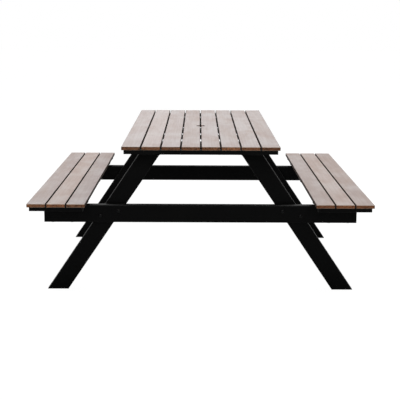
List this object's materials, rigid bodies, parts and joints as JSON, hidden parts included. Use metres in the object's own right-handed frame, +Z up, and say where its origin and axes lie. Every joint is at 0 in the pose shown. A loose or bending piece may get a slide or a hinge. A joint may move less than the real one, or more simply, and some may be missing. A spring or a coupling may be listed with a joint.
{
  "type": "picnic table",
  "caption": "Picnic table with a slatted top and two slatted benches on a bolted A-frame of black rectangular tube, with a parasol hole.",
  "frame": {"origin": "on the ground, under the middle of the table", "axes": "+Z up, +Y along the boards, +X across the benches"},
  "size_m": [1.646, 1.8, 0.761],
  "materials": {
    "top_boards": "matt, weathered",
    "bench_boards": "matt, weathered",
    "powder_coated_steel": "black satin powder coat",
    "black_plastic": "matt",
    "feet": "matt",
    "black_fasteners": "black, smooth",
    "zinc": "zinc plated"
  },
  "bodies": {
    "root": {"beam_end_plugs": "black_plastic", "crossbar_end_plugs": "black_plastic", "foot_caps": "black_plastic", "front_left_leg": "powder_coated_steel", "front_right_leg": "powder_coated_steel", "front_seat_beam": "powder_coated_steel", "front_top_bar": "powder_coated_steel", "left_seat_front_beam_crossbar": "powder_coated_steel", "left_seat_front_end_crossbar": "powder_coated_steel", "left_seat_middle_crossbar": "powder_coated_steel", "left_seat_rear_beam_crossbar": "powder_coated_steel", "left_seat_rear_end_crossbar": "powder_coated_steel", "left_seat_slat_1": "bench_boards", "left_seat_slat_2": "bench_boards", "left_seat_slat_3": "bench_boards", "leg_bolts": "black_fasteners", "leg_nuts": "black_fasteners", "leg_washers": "black_fasteners", "levelling_feet": "feet", "rear_left_leg": "powder_coated_steel", "rear_right_leg": "powder_coated_steel", "rear_seat_beam": "powder_coated_steel", "rear_top_bar": "powder_coated_steel", "right_seat_front_beam_crossbar": "powder_coated_steel", "right_seat_front_end_crossbar": "powder_coated_steel", "right_seat_middle_crossbar": "powder_coated_steel", "right_seat_rear_beam_crossbar": "powder_coated_steel", "right_seat_rear_end_crossbar": "powder_coated_steel", "right_seat_slat_1": "bench_boards", "right_seat_slat_2": "bench_boards", "right_seat_slat_3": "bench_boards", "seat_bolts": "black_fasteners", "seat_packers": "black_plastic", "seat_slat_screws": "zinc", "seat_threaded_inserts": "zinc", "top_bar_end_plugs": "black_plastic", "top_frame_bolts": "black_fasteners", "top_front_end_crossbar": "powder_coated_steel", "top_front_leg_crossbar": "powder_coated_steel", "top_front_third_crossbar": "powder_coated_steel", "top_left_rail": "powder_coated_steel", "top_pole_crossbar": "powder_coated_steel", "top_rear_end_crossbar": "powder_coated_steel", "top_rear_leg_crossbar": "powder_coated_steel", "top_rear_third_crossbar": "powder_coated_steel", "top_right_rail": "powder_coated_steel", "top_slat_1": "top_boards", "top_slat_2": "top_boards", "top_slat_3": "top_boards", "top_slat_4": "top_boards", "top_slat_5": "top_boards", "top_slat_6": "top_boards", "top_slat_7": "top_boards", "top_slat_8": "top_boards", "top_slat_screws": "zinc", "top_threaded_inserts": "zinc"}
  },
  "joints": []
}
